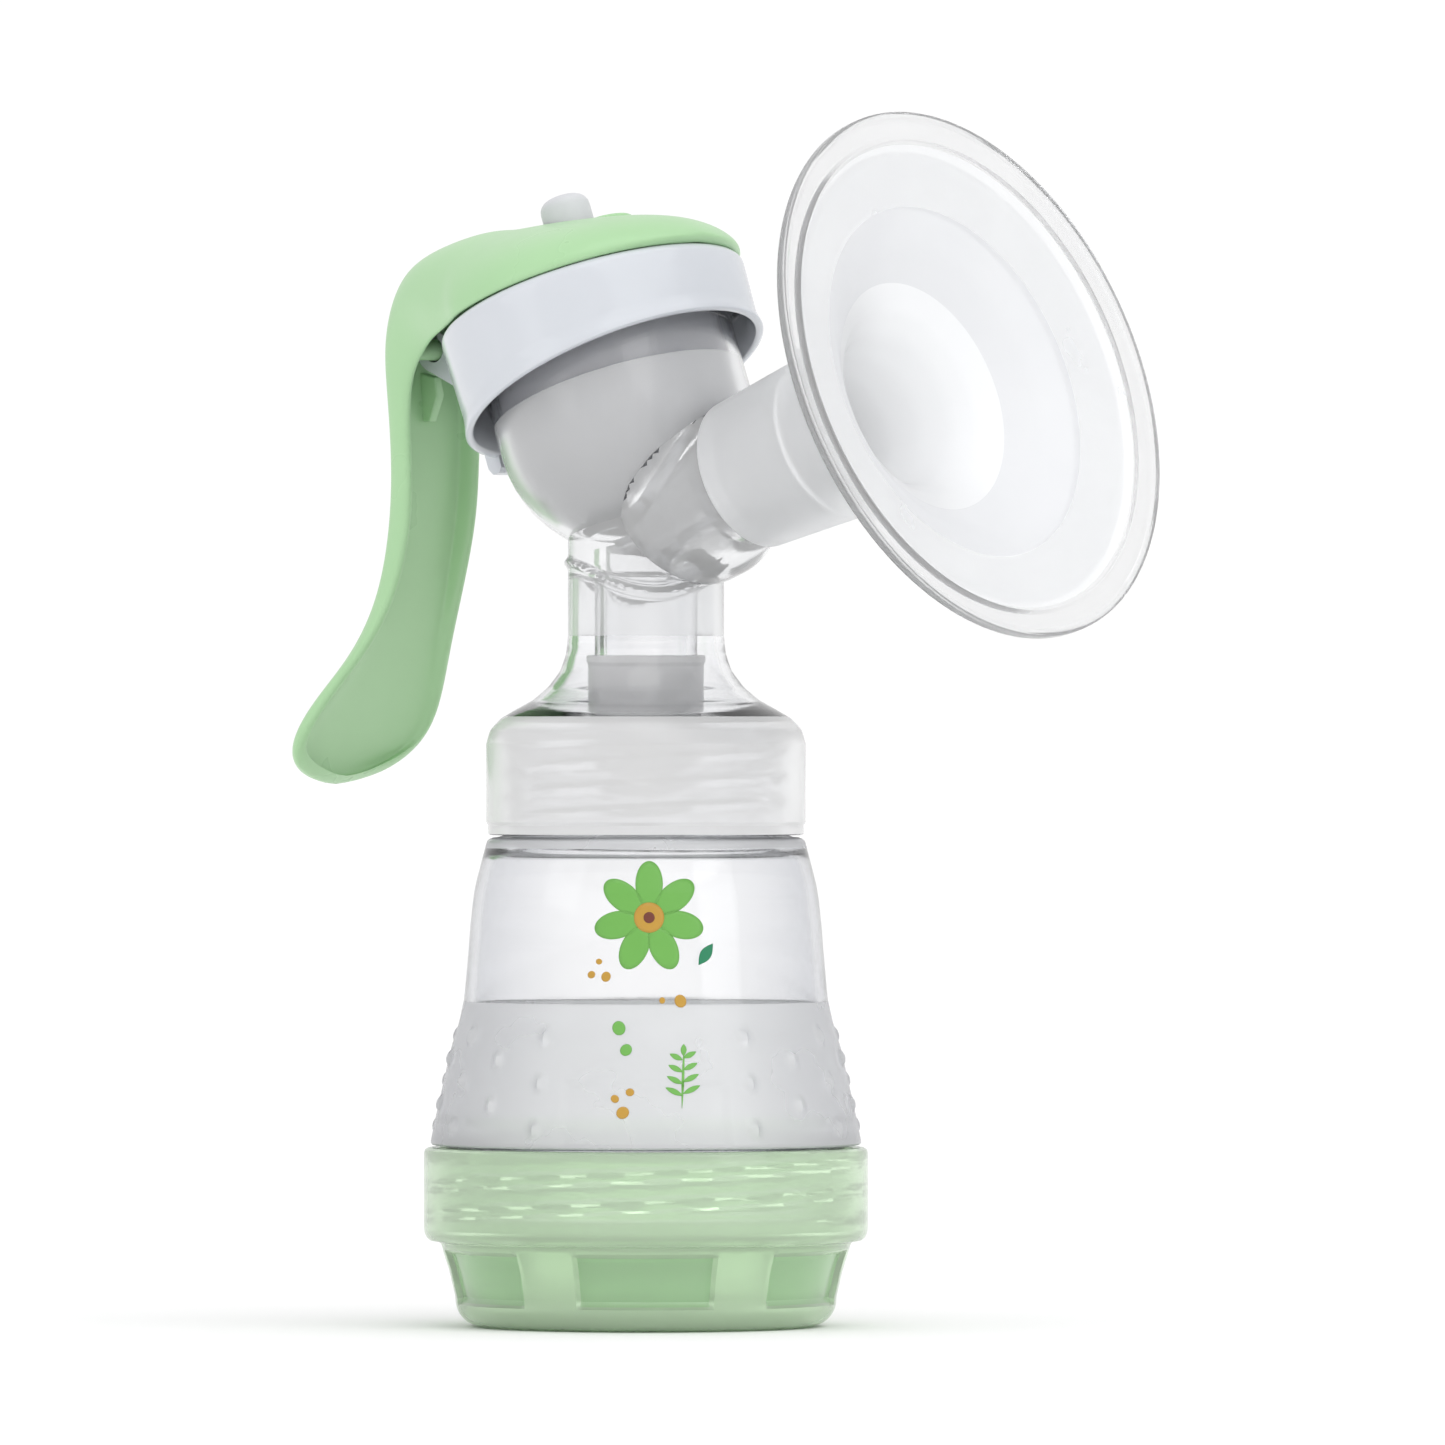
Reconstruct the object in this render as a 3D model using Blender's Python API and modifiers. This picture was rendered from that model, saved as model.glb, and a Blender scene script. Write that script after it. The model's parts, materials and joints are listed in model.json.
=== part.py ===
"""Manual breast pump: a bottle with a screwed-on base, a pump body with a membrane
chamber, a lid that carries the squeeze handle, and a soft breast funnel.

Origin: centre of the base's underside, on the bottle's axis. +Z is up, +X towards the
funnel, and the lever hangs on the -X side. Lengths below are in millimetres and are
turned to metres where the meshes are made.
"""

import math

import bmesh
import bpy
from mathutils import Matrix, Vector

MM = 0.001
MERGE = 0.00001
TURN_STEPS = 32

# Driving sizes
GAP = 0.3  # between pieces that touch
BASE_RADIUS = 34.15  # collar of the base cup, the widest turned piece of the bottle
COLLAR_TOP = 27.4
LEDGE = 14.6  # where the vent valve's rim rests inside the base cup
AIR_HOLES = 4  # through the floor of the base cup
AIR_HOLE_RADIUS = 1.5
AIR_HOLE_REACH = 13.0  # from the axis
NECK_RADIUS = 24.6  # skirt of the pump body, flush with the bottle's shoulder
SKIRT_BOTTOM = 75.4
JUNCTION = Vector((1.5, 0.0, 124.2))  # where the chamber axis and the funnel axis meet
CHAMBER_TILT = 20.5  # degrees, chamber axis leaning towards the lever
FUNNEL_RISE = 18.6  # degrees, funnel axis above the horizontal
FUNNEL_REACH = 67.1  # from the junction to the funnel's rim
FUNNEL_RADIUS = 42.1
BOWL_RADIUS = 19.9
BOWL_CENTRE = 15.2  # up the chamber axis
BOWL_RIM = 30.0
WALL = 1.6
LID_RADIUS = 24.2
LID_TOP = 36.2
LID_RIM = 22.0  # height of the slanted lower rim on the axis
LID_RIM_SLOPE = 0.13  # the rim is higher towards the funnel
CAP_RADIUS = 25.0
CAP_RIM = LID_TOP + 0.4
PORT_RADIUS = 10.0
PORT_BORE = 8.2
PIVOT = Vector((-40.2, 0.0, 150.5))  # the handle's crossbar in the lid's hook
CROSSBAR_RADIUS = 1.6
STEM_RADIUS = 2.6
KNOB_RADIUS = 3.9
KNOB_SEAT = 46.2  # floor of the cap's pocket, up the chamber axis
SLOT_TRAVEL = 5.6  # how far the stem shifts in the cap as the handle lifts it
HANDLE_WALL = 1.8


# ---------------------------------------------------------------- materials


def plastic(name, colour, roughness, alpha=1.0):
    mat = bpy.data.materials.new(name)
    mat.use_nodes = True
    shader = mat.node_tree.nodes["Principled BSDF"]
    shader.inputs["Base Color"].default_value = (*colour, 1.0)
    shader.inputs["Roughness"].default_value = roughness
    shader.inputs["Metallic"].default_value = 0.0
    shader.inputs["Alpha"].default_value = alpha
    return mat


# ---------------------------------------------------------------- tools


def link(obj, collection, mat=None, parent=None):
    collection.objects.link(obj)
    if mat is not None:
        obj.data.materials.append(mat)
    if parent is not None:
        obj.parent = parent
    return obj


def arc(centre, radius, start, end, count):
    """Points (r, z) on an arc, angles in degrees from the +r direction."""
    points = []
    for i in range(count + 1):
        a = math.radians(start + (end - start) * i / count)
        points.append((centre[0] + radius * math.cos(a), centre[1] + radius * math.sin(a)))
    return points


def turned(name, outline, collection, mat=None, parent=None, closed=True, steps=TURN_STEPS):
    """A turned piece about the local Z axis. The outline runs down its outer side."""
    bm = bmesh.new()
    verts = [bm.verts.new((r * MM, 0.0, z * MM)) for r, z in outline]
    for a, b in zip(verts, verts[1:]):
        bm.edges.new((a, b))
    if closed:
        bm.edges.new((verts[-1], verts[0]))
    mesh = bpy.data.meshes.new(name)
    bm.to_mesh(mesh)
    bm.free()
    obj = link(bpy.data.objects.new(name, mesh), collection, mat, parent)
    screw = obj.modifiers.new("turn", "SCREW")
    screw.axis = "Z"
    screw.steps = steps
    screw.render_steps = steps
    screw.use_merge_vertices = True
    screw.merge_threshold = MERGE
    screw.use_smooth_shade = True
    return obj


def cylinder(name, radius, low, high, collection, parent=None, axis="Z", sides=32, centre=(0, 0, 0)):
    """A closed cylinder along a local axis, from low to high."""
    bm = bmesh.new()
    bmesh.ops.create_cone(
        bm,
        cap_ends=True,
        segments=sides,
        radius1=radius * MM,
        radius2=radius * MM,
        depth=(high - low) * MM,
    )
    middle = Vector((0, 0, (high + low) / 2 * MM))
    bmesh.ops.translate(bm, verts=bm.verts, vec=middle)
    if axis == "Y":
        bmesh.ops.rotate(bm, verts=bm.verts, matrix=Matrix.Rotation(-math.pi / 2, 3, "X"))
    bmesh.ops.translate(bm, verts=bm.verts, vec=Vector(centre) * MM)
    mesh = bpy.data.meshes.new(name)
    bm.to_mesh(mesh)
    bm.free()
    return link(bpy.data.objects.new(name, mesh), collection, None, parent)


def slab(name, outline, half_width, collection, parent=None):
    """A flat outline in the local XZ plane, filled and given a thickness along Y."""
    curve = bpy.data.curves.new(name, "CURVE")
    curve.dimensions = "2D"
    curve.fill_mode = "BOTH"
    curve.extrude = half_width * MM
    spline = curve.splines.new("POLY")
    spline.points.add(len(outline) - 1)
    for point, (x, z) in zip(spline.points, outline):
        point.co = (x * MM, z * MM, 0.0, 1.0)
    spline.use_cyclic_u = True
    sketch = bpy.data.objects.new(name + "_sketch", curve)
    collection.objects.link(sketch)
    bpy.context.view_layer.update()
    graph = bpy.context.evaluated_depsgraph_get()
    mesh = bpy.data.meshes.new_from_object(sketch.evaluated_get(graph))
    mesh.transform(Matrix.Rotation(math.pi / 2, 4, "X"))
    bpy.data.objects.remove(sketch)
    bm = bmesh.new()
    bm.from_mesh(mesh)
    bmesh.ops.remove_doubles(bm, verts=bm.verts, dist=MERGE)
    bmesh.ops.recalc_face_normals(bm, faces=bm.faces)
    bm.to_mesh(mesh)
    bm.free()
    return link(bpy.data.objects.new(name, mesh), collection, None, parent)


def boolean(obj, operation, other):
    step = obj.modifiers.new(other.name, "BOOLEAN")
    step.operation = operation
    step.solver = "EXACT"
    step.object = other
    other.hide_render = True
    other.display_type = "WIRE"


def axis_empty(name, place, tilt, collection, parent=None):
    """An empty whose local Z leans by tilt degrees from vertical towards +X."""
    empty = bpy.data.objects.new(name, None)
    empty.location = Vector(place) * MM
    empty.rotation_euler = (0.0, math.radians(tilt), 0.0)
    empty.empty_display_size = 0.01
    collection.objects.link(empty)
    if parent is not None:
        empty.parent = parent
    return empty


# ---------------------------------------------------------------- bottle


def make_base_cup(parts, cutters, mat):
    outline = [(BASE_RADIUS, COLLAR_TOP - 0.4), (BASE_RADIUS, 13.9), (33.3, 13.0), (31.7, 12.7)]
    outline += [(31.4, 12.2), (30.3, 8.5)]
    outline += arc((25.2, 4.0), 4.1, 0, -90, 5)[:-1] + [(25.2, 0.0), (0.0, 0.0)]
    outline += [(0.0, 2.0), (24.6, 2.0), (26.6, 3.0), (27.5, 5.0)]
    outline += [(28.6, 9.0), (29.5, 12.8), (29.5, LEDGE), (32.2, LEDGE), (32.2, COLLAR_TOP)]
    outline += [(BASE_RADIUS - 0.4, COLLAR_TOP)]
    cup = turned("base_cup", outline, parts, mat)
    for i in range(AIR_HOLES):
        a = math.radians(45 + 360 * i / AIR_HOLES)
        place = (AIR_HOLE_REACH * math.cos(a), AIR_HOLE_REACH * math.sin(a), 0)
        hole = cylinder(f"air_hole_{i + 1}", AIR_HOLE_RADIUS, -2, 4, cutters, sides=16, centre=place)
        boolean(cup, "DIFFERENCE", hole)
    return cup


def make_vent_valve(parts, mat):
    low = LEDGE + GAP
    outline = [(31.8, low + 1.5), (31.8, low), (27.8, low), (27.0, low + 0.4), (9.0, low + 0.4)]
    outline += [(7.0, low - 1.2), (0.0, low - 1.6), (0.0, low - 0.6), (6.2, low - 0.3)]
    outline += [(8.2, low + 1.5)]
    return turned("vent_valve", outline, parts, mat)


def make_bottle(parts, mat):
    foot = 16.7
    shoulder = COLLAR_TOP + GAP
    outline = [(20.7, 91.8), (21.2, 91.2), (21.2, 76.6), (21.6, 75.6), (22.3, 75.1), (23.9, 75.0)]
    outline += [(24.5, 74.5), (25.5, 70.6), (26.4, 66.8), (27.0, 61.8), (27.4, 57.0)]
    outline += [(27.75, 53.0), (28.05, 49.7), (28.85, 46.3), (29.9, 42.9), (31.1, 37.7)]
    outline += [(32.3, 32.3), (33.1, shoulder + 0.5), (32.8, shoulder), (31.7, shoulder)]
    outline += [(31.7, foot + 0.5), (31.2, foot), (29.7, foot), (29.7, 27.5)]
    outline += [(30.7, 32.0), (29.5, 37.6), (28.3, 42.6), (27.2, 46.0), (26.4, 49.5)]
    outline += [(25.8, 57.0), (24.8, 66.6), (23.0, 73.0), (20.9, 75.2), (19.6, 77.4)]
    outline += [(19.6, 91.2), (20.1, 91.8)]
    return turned("bottle", outline, parts, mat)


# ---------------------------------------------------------------- pump body


def make_pump_body(parts, cutters, mat, chamber, funnel_line):
    # Skirt, shoulder, neck and the inner spout, as one turned ring
    outline = [(12.0, 127.0), (12.0, 106.0), (12.3, 103.2), (13.2, 100.6), (15.0, 98.2)]
    outline += [(17.3, 96.2), (20.0, 94.7), (22.4, 93.3), (24.0, 91.5), (NECK_RADIUS, 89.4)]
    outline += [(NECK_RADIUS, SKIRT_BOTTOM + 0.4), (24.2, SKIRT_BOTTOM), (22.7, SKIRT_BOTTOM)]
    outline += [(22.7, 91.2), (21.6, 92.2), (19.0, 93.4), (16.4, 94.7), (13.7, 97.0)]
    outline += [(11.5, 100.5), (10.6, 104.6), (10.5, 115.2), (9.8, 115.9), (8.4, 115.9)]
    outline += [(7.9, 115.4), (7.9, 94.0), (6.5, 94.0), (6.2, 94.4), (6.2, 127.0)]
    body = turned("pump_body", outline, parts, mat)

    ball = arc((0.0, BOWL_CENTRE), BOWL_RADIUS, 0, -90, 9)
    bowl_outline = [(0.0, BOWL_RIM), (22.2, BOWL_RIM), (22.2, 28.4), (20.3, 27.6), (BOWL_RADIUS, 26.6)]
    bowl_outline += ball[:-1] + [(0.0, BOWL_CENTRE - BOWL_RADIUS)]
    bowl = turned("bowl_outside", bowl_outline, cutters, None, chamber, closed=False)
    inner = BOWL_RADIUS - WALL
    hollow_outline = [(0.0, BOWL_RIM + 2), (inner, BOWL_RIM + 2)]
    hollow_outline += arc((0.0, BOWL_CENTRE), inner, 0, -90, 9)[:-1] + [(0.0, BOWL_CENTRE - inner)]
    hollow = turned("bowl_inside", hollow_outline, cutters, None, chamber, closed=False)
    port = cylinder("port_outside", PORT_RADIUS, 0.0, 36.0, cutters, funnel_line, sides=TURN_STEPS)
    passage = cylinder("port_inside", PORT_BORE, -2.0, 40.0, cutters, funnel_line, sides=TURN_STEPS)
    boolean(passage, "DIFFERENCE", bowl)
    air_way = cylinder("air_way", 2.5, -8.0, 0.0, cutters, chamber, sides=20)

    boolean(body, "UNION", bowl)
    boolean(body, "UNION", port)
    boolean(body, "DIFFERENCE", passage)
    boolean(body, "DIFFERENCE", hollow)
    boolean(body, "DIFFERENCE", air_way)
    return body


def make_milk_valve(parts, mat):
    outline = [(9.15, 102.8), (9.15, 101.8), (8.95, 101.4), (8.95, 93.0), (6.6, 88.2), (2.4, 83.2)]
    outline += [(1.4, 83.2), (5.6, 88.6), (8.2, 93.6), (8.2, 102.8)]
    return turned("milk_valve", outline, parts, mat, steps=24)


def make_membrane(parts, mat, chamber):
    outer = BOWL_RADIUS - WALL - 0.5
    thick = 1.1
    inner = outer - thick
    low = BOWL_RIM + GAP
    outline = [(21.6, low + 1.2), (21.6, low), (outer, low)]
    outline += arc((0.0, BOWL_CENTRE), outer, 0, -78, 8)
    outline += [(3.4, BOWL_CENTRE - outer)]
    outline += [(3.4, BOWL_CENTRE - inner + 0.4)]
    outline += arc((0.0, BOWL_CENTRE), inner, -76, 0, 8)
    outline += [(inner, low + 1.2)]
    return turned("membrane", outline, parts, mat, chamber, steps=24)


def make_stem(parts, mat, chamber):
    top = 53.6
    neck = 2.4
    outline = [(0.0, top), (2.2, top - 0.15), (3.4, top - 0.9), (KNOB_RADIUS, top - 2.0)]
    outline += [(KNOB_RADIUS, KNOB_SEAT + 0.4), (neck, KNOB_SEAT + 0.4), (neck, 41.5)]
    outline += [(STEM_RADIUS, 41.0), (STEM_RADIUS, 3.0), (3.1, 2.4), (3.1, -2.3), (0.0, -2.3)]
    return turned("membrane_stem", outline, parts, mat, chamber, closed=False, steps=20)


# ---------------------------------------------------------------- lid and handle


def make_lid(parts, cutters, mat, chamber):
    outline = [(3.1, 39.0), (5.4, 39.0), (6.0, 38.5), (6.4, 36.9), (22.6, LID_TOP)]
    outline += arc((LID_RADIUS - 1.4, LID_TOP - 1.5), 1.4, 80, 0, 4)
    outline += [(LID_RADIUS - 0.3, 15.0), (LID_RADIUS - WALL, 15.0), (LID_RADIUS - WALL, 34.4)]
    outline += [(21.6, 34.4), (21.4, 31.8), (19.6, 31.8), (19.4, 34.4), (3.1, 34.4)]
    lid = turned("lid", outline, parts, mat, chamber)

    # Everything below the slanted rim is cut away
    slant = [(-40, LID_RIM - 40 * LID_RIM_SLOPE), (40, LID_RIM + 40 * LID_RIM_SLOPE), (40, 5), (-40, 5)]
    boolean(lid, "DIFFERENCE", slab("below_rim", slant, 40, cutters, chamber))

    # Hook at the back for the handle's crossbar, with a tab that reaches below the rim
    hook_centre = chamber_place(PIVOT)
    hook = [(-23.0, 16.6), (-25.1, 16.6), (-25.7, 17.4), (-25.9, 30.5)]
    hook += arc(hook_centre, 3.4, 225, 80, 8)
    hook += [(-26.4, 40.6), (-23.0, 35.8)]
    boolean(lid, "UNION", slab("hook", hook[::-1], 3.6, cutters, chamber))
    seat = cylinder(
        "hook_seat", CROSSBAR_RADIUS + GAP, -6, 6, cutters, chamber, "Y", 24,
        (hook_centre[0], 0, hook_centre[1]),
    )
    boolean(lid, "DIFFERENCE", seat)
    mouth = 1.4
    snap = [(hook_centre[0] - mouth, hook_centre[1]), (hook_centre[0] + mouth, hook_centre[1])]
    snap += [(hook_centre[0] + mouth, hook_centre[1] + 6), (hook_centre[0] - mouth, hook_centre[1] + 6)]
    boolean(lid, "DIFFERENCE", slab("hook_mouth", snap, 6, cutters, chamber))
    return lid


def chamber_place(point):
    """A place in the XZ plane as (across, along) of the tilted chamber axis."""
    t = math.radians(CHAMBER_TILT)
    dx = point[0] - JUNCTION.x
    dz = point[2] - JUNCTION.z
    return (dx * math.cos(t) + dz * math.sin(t), -dx * math.sin(t) + dz * math.cos(t))


def world_place(across, along):
    """The world X and Z of a place given along the tilted chamber axis."""
    t = math.radians(CHAMBER_TILT)
    x = JUNCTION.x + across * math.cos(t) - along * math.sin(t)
    z = JUNCTION.z + across * math.sin(t) + along * math.cos(t)
    return (x, z)


def handle_sections():
    """Arched sections from the front of the cap, over the lid and down the lever.

    Each is (crown, edge, half width, squareness): the crown and the edge are (x, z), and
    the section is a superellipse arch of that squareness between them.
    """
    cap_crown = [(15, 39.2), (30, 41.6), (48, 44.0), (68, 46.5), (90, 49.2), (112, 51.4)]
    sections = []
    for angle, height in cap_crown:
        a = math.radians(angle)
        across = CAP_RADIUS * math.cos(a)
        edge = world_place(across, CAP_RIM)
        crown = world_place(across * 0.97, height)
        sections.append((crown, edge, CAP_RADIUS * math.sin(a), 1.9))
    sections += [
        ((-27.8, 169.6), (-22.6, 154.3), 20.6, 2.1),
        ((-35.8, 167.6), (-28.6, 152.4), 17.0, 2.5),
        ((-42.4, 164.7), (-32.8, 151.4), 13.8, 3.0),
        ((-46.2, 158.8), (-36.4, 149.6), 11.4, 3.6),
        ((-47.6, 151.6), (-39.4, 146.8), 10.2, 4.2),
        ((-46.8, 143.4), (-41.0, 142.0), 9.4, 4.5),
        ((-46.1, 134.0), (-41.0, 134.0), 9.0, 4.5),
        ((-46.7, 123.8), (-41.0, 124.6), 8.6, 4.5),
        ((-49.2, 111.8), (-43.8, 113.8), 8.5, 4.2),
        ((-53.9, 102.2), (-48.2, 105.2), 10.4, 3.6),
        ((-59.2, 95.0), (-53.2, 98.2), 14.0, 3.0),
        ((-63.2, 89.4), (-57.0, 91.8), 15.8, 2.6),
        ((-65.0, 84.8), (-60.2, 86.4), 13.6, 2.2),
    ]
    return sections


def handle_sheet(columns):
    """The handle's outer skin as a coarse quad sheet, closed to a point at both ends."""
    bm = bmesh.new()
    rows = []
    for crown, edge, half, squareness in handle_sections():
        row = []
        for j in range(columns + 1):
            a = math.pi * j / columns
            side = math.copysign(abs(math.cos(a)) ** (2 / squareness), math.cos(a))
            drop = 1 - math.sin(a) ** (2 / squareness)
            x = crown[0] + (edge[0] - crown[0]) * drop
            z = crown[1] + (edge[1] - crown[1]) * drop
            row.append(bm.verts.new(Vector((x, half * side, z)) * MM))
        rows.append(row)
    for first, second in zip(rows, rows[1:]):
        for j in range(columns):
            bm.faces.new((first[j], second[j], second[j + 1], first[j + 1]))
    nose = world_place(CAP_RADIUS, CAP_RIM + 0.4)
    toe = (-64.0, 82.0)
    for row, point, flip in ((rows[0], nose, False), (rows[-1], toe, True)):
        tip = bm.verts.new(Vector((point[0], 0.0, point[1])) * MM)
        for j in range(columns):
            corners = (tip, row[j], row[j + 1])
            bm.faces.new(corners[::-1] if flip else corners)
    return bm


def slotted(name, half_width, low, high, collection):
    """A block of long-hole outline about the stem, between two heights up the chamber axis."""
    outline = arc((0.0, 0.0), half_width, 270, 90, 8)
    outline += arc((SLOT_TRAVEL, 0.0), half_width, 90, -90, 8)
    block = slab(name, outline, (high - low) / 2, collection)
    tilt = Matrix.Rotation(-math.radians(CHAMBER_TILT), 4, "Y")
    lying = Matrix.Rotation(math.pi / 2, 4, "X")
    x, z = world_place(0.0, (low + high) / 2)
    block.matrix_world = Matrix.Translation(Vector((x, 0.0, z)) * MM) @ tilt @ lying
    return block


def make_handle(parts, cutters, mat, pivot):
    bm = handle_sheet(8)
    bmesh.ops.translate(bm, verts=bm.verts, vec=-PIVOT * MM)
    bmesh.ops.recalc_face_normals(bm, faces=bm.faces)
    mesh = bpy.data.meshes.new("handle")
    bm.to_mesh(mesh)
    bm.free()
    handle = link(bpy.data.objects.new("handle", mesh), parts, mat, pivot)
    shell = handle.modifiers.new("wall", "SOLIDIFY")
    shell.thickness = HANDLE_WALL * MM
    shell.offset = -1.0
    shell.use_even_offset = True
    smooth = handle.modifiers.new("smooth", "SUBSURF")
    smooth.levels = 1
    smooth.render_levels = 1

    # Crossbar that turns in the lid's hook, and the rib below it
    bar = cylinder("crossbar", CROSSBAR_RADIUS, -9.4, 9.4, cutters, pivot, "Y", 24)
    boolean(handle, "UNION", bar)
    rib = [(-5.6, -3.2), (-2.2, -4.2), (-1.6, -7.0), (-3.2, -11.0), (-5.4, -11.0)]
    boolean(handle, "UNION", slab("lever_rib", rib, 0.9, cutters, pivot))

    # Pad, pocket and slot for the stem: long enough for it to stay upright as the cap lifts
    boolean(handle, "UNION", slotted("stem_pad", 5.4, KNOB_SEAT - 3.2, KNOB_SEAT, cutters))
    boolean(handle, "DIFFERENCE", slotted("stem_pocket", 4.6, KNOB_SEAT, KNOB_SEAT + 9, cutters))
    boolean(handle, "DIFFERENCE", slotted("stem_slot", 2.9, KNOB_SEAT - 9, KNOB_SEAT + 4, cutters))
    return handle


# ---------------------------------------------------------------- funnel


def make_funnel(parts, mat, funnel_line):
    def back(radius, depth):
        return (radius, FUNNEL_REACH - depth)

    outline = [back(41.6, 0.0), back(FUNNEL_RADIUS, 0.4), back(FUNNEL_RADIUS, 1.2), back(41.4, 1.8)]
    outline += [back(38.4, 2.2), back(36.6, 3.0), back(34.2, 3.9), back(28.4, 5.6)]
    outline += [back(23.0, 9.3), back(19.0, 12.6), back(16.2, 15.8), back(14.4, 19.6)]
    outline += [back(13.4, 25.0), back(12.9, 31.5), back(11.8, 46.5), back(11.4, 46.9)]
    outline += [back(10.3, 46.9), back(10.3, 30.8), back(8.3, 30.8), back(8.8, 25.6)]
    outline += [back(10.2, 20.4), back(12.4, 16.0), back(14.8, 13.2), back(18.2, 10.6)]
    outline += [back(22.8, 7.0), back(28.0, 3.9), back(35.6, 2.0), back(37.2, 1.2), back(37.8, 0.4)]
    outline += [back(41.0, 0.35), back(41.3, 0.0)]
    return turned("funnel", outline, parts, mat, funnel_line, steps=40)


# ---------------------------------------------------------------- assembly


def main():
    for obj in list(bpy.data.objects):
        bpy.data.objects.remove(obj)
    parts = bpy.data.collections.new("breast_pump")
    cutters = bpy.data.collections.new("cutters")
    for collection in (parts, cutters):
        bpy.context.scene.collection.children.link(collection)

    clear = plastic("clear_polypropylene", (0.86, 0.87, 0.88), 0.12, 0.35)
    tinted = plastic("green_polypropylene", (0.38, 0.66, 0.36), 0.25, 0.7)
    opaque = plastic("green_abs", (0.40, 0.68, 0.37), 0.3)
    white = plastic("white_abs", (0.78, 0.80, 0.85), 0.2)
    silicone = plastic("silicone", (0.80, 0.80, 0.82), 0.45, 0.8)
    grey = plastic("grey_silicone", (0.50, 0.50, 0.52), 0.45)

    chamber = axis_empty("chamber_axis", JUNCTION, -CHAMBER_TILT, parts)
    funnel_line = axis_empty("funnel_axis", JUNCTION, 90 - FUNNEL_RISE, parts)
    pivot = axis_empty("handle_axis", PIVOT, 0.0, parts)
    bpy.context.view_layer.update()

    make_base_cup(parts, cutters, tinted)
    make_vent_valve(parts, silicone)
    make_bottle(parts, clear)
    make_pump_body(parts, cutters, clear, chamber, funnel_line)
    make_milk_valve(parts, silicone)
    make_membrane(parts, grey, chamber)
    make_stem(parts, grey, chamber)
    make_lid(parts, cutters, white, chamber)
    make_handle(parts, cutters, opaque, pivot)
    make_funnel(parts, silicone, funnel_line)

    for obj in parts.objects:
        if obj.type == "MESH":
            obj.data.shade_smooth()


main()
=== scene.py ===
"""Looks for the manual breast pump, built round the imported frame.

Shapes are drawn in millimetres and placed in the frame's metres. The chamber axis, the
handle's pivot and the leads of both screw threads come from the frame's joints.
"""

import json
import math

import bmesh
import bpy
from mathutils import Matrix, Vector


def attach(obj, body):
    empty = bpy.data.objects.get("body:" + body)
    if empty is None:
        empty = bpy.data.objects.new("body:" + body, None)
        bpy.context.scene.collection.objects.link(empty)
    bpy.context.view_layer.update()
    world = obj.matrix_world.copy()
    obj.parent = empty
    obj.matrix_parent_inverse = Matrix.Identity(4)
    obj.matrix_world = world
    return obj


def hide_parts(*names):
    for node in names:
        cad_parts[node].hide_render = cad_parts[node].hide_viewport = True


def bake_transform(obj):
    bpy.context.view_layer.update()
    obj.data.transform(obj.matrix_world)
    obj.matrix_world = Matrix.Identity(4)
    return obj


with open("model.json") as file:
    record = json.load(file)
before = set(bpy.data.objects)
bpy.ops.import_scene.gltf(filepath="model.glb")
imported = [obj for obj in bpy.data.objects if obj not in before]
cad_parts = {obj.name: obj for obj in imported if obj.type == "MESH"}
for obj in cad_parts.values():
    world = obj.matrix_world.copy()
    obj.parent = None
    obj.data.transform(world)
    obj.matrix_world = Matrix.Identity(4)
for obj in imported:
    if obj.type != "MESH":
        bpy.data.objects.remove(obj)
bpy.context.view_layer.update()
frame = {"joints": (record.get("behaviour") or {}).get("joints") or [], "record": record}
scene = bpy.context.scene

MM = 0.001
FRONT = -50.0  # azimuth of the printed side of the bottle, degrees from +X
FUNNEL_RISE = 18.6
FUNNEL_REACH = 67.1
FUNNEL_RADIUS = 42.1
NECK_RADIUS = 24.6
BOWL_RADIUS = 19.9
BOWL_CENTRE = 15.2
BOWL_RIM = 30.0
WALL = 1.6
LID_RADIUS = 24.2
LID_TOP = 36.2
LID_RIM = 22.0
LID_RIM_SLOPE = 0.13
CAP_RADIUS = 25.0
CAP_RIM = LID_TOP + 0.4
KNOB_RADIUS = 3.9
KNOB_SEAT = 46.2
SLOT_TRAVEL = 5.6
FINE = 144  # steps round a turned piece

joints = {joint["name"]: joint for joint in frame["joints"]}
couplings = {item["joint"]: item for item in frame["record"]["behaviour"]["couplings"]}
JUNCTION = Vector(joints["lid_swivel"]["pos_m"]) / MM
CHAMBER = Vector(joints["lid_swivel"]["axis"]).normalized()
CHAMBER_TILT = math.degrees(math.atan2(-CHAMBER.x, CHAMBER.z))
PIVOT = Vector(joints["handle_squeeze"]["pos_m"]) / MM
FOOT_LEAD = 2 * math.pi / couplings["base_unscrew"]["ratio"] / MM
NECK_LEAD = 2 * math.pi / couplings["pump_unscrew"]["ratio"] / MM

UPRIGHT = Matrix.Scale(MM, 4)
CHAMBER_PLACE = (
    Matrix.Translation(JUNCTION * MM)
    @ Matrix.Rotation(math.radians(-CHAMBER_TILT), 4, "Y")
    @ UPRIGHT
)
FUNNEL_PLACE = (
    Matrix.Translation(JUNCTION * MM)
    @ Matrix.Rotation(math.radians(90 - FUNNEL_RISE), 4, "Y")
    @ UPRIGHT
)


# ---------------------------------------------------------------- materials


def linear(hex_colour):
    """The linear RGBA of an sRGB hex colour."""
    parts = [int(hex_colour[i : i + 2], 16) / 255 for i in (1, 3, 5)]
    return (*[c / 12.92 if c <= 0.04045 else ((c + 0.055) / 1.055) ** 2.4 for c in parts], 1.0)


def add(tree, kind, inputs=(), **settings):
    """Adds a node, with its settings, and sets or links its inputs."""
    new = tree.nodes.new(kind)
    for name, value in settings.items():
        setattr(new, name, value)
    for name, value in dict(inputs).items():
        if isinstance(value, bpy.types.NodeSocket):
            tree.links.new(value, new.inputs[name])
        else:
            new.inputs[name].default_value = value
    return new


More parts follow.
